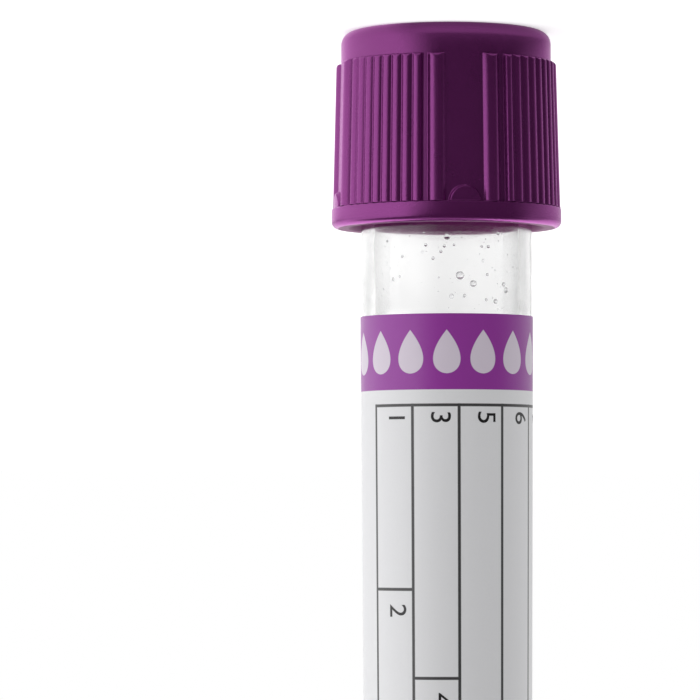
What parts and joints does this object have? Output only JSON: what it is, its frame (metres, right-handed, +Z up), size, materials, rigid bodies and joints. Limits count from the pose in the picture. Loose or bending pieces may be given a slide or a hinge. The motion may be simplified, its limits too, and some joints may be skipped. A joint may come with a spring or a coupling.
{
  "type": "blood collection tube",
  "caption": "Clear evacuated sample tube with a round bottom, a paper form label and a ribbed twist-off safety cap over a rubber stopper.",
  "frame": {"origin": "on the bench, on the tube's axis, in the middle of the cap's flat top, on which the tube stands head down", "axes": "+Z up the tube's axis from the cap to the round bottom, -Y out of the form side of the label"},
  "size_m": [0.0175, 0.0174, 0.081],
  "materials": {
    "clear_plastic": "clear, polished, moulded",
    "cap_plastic": "glossy moulded lavender-top purple",
    "stopper_rubber": "matt moulded grey rubber",
    "ring_plastic": "satin black",
    "label_paper": "satin label stock with a purple band and a ruled form",
    "additive": "dried clear droplets"
  },
  "bodies": {
    "cap": {"cap": "cap_plastic", "ring": "ring_plastic"},
    "stopper": {"stopper": "stopper_rubber"},
    "tube": {"tube": "clear_plastic", "label": "label_paper", "additive_droplets": "additive"}
  },
  "joints": [
    {"name": "unscrew", "type": "hinge", "parent": "cap", "child": "stopper", "pos_m": [0, 0, 0.006], "axis": [0, 0, 1], "range_deg": [0, 240]},
    {"name": "lift_off", "type": "slide", "parent": "stopper", "child": "tube", "axis": [0, 0, 1], "range_m": [0, 0.0097]}
  ],
  "couplings": [
    {"joint": "lift_off", "follows": "unscrew", "m_per_rad": 0.0022918}
  ]
}
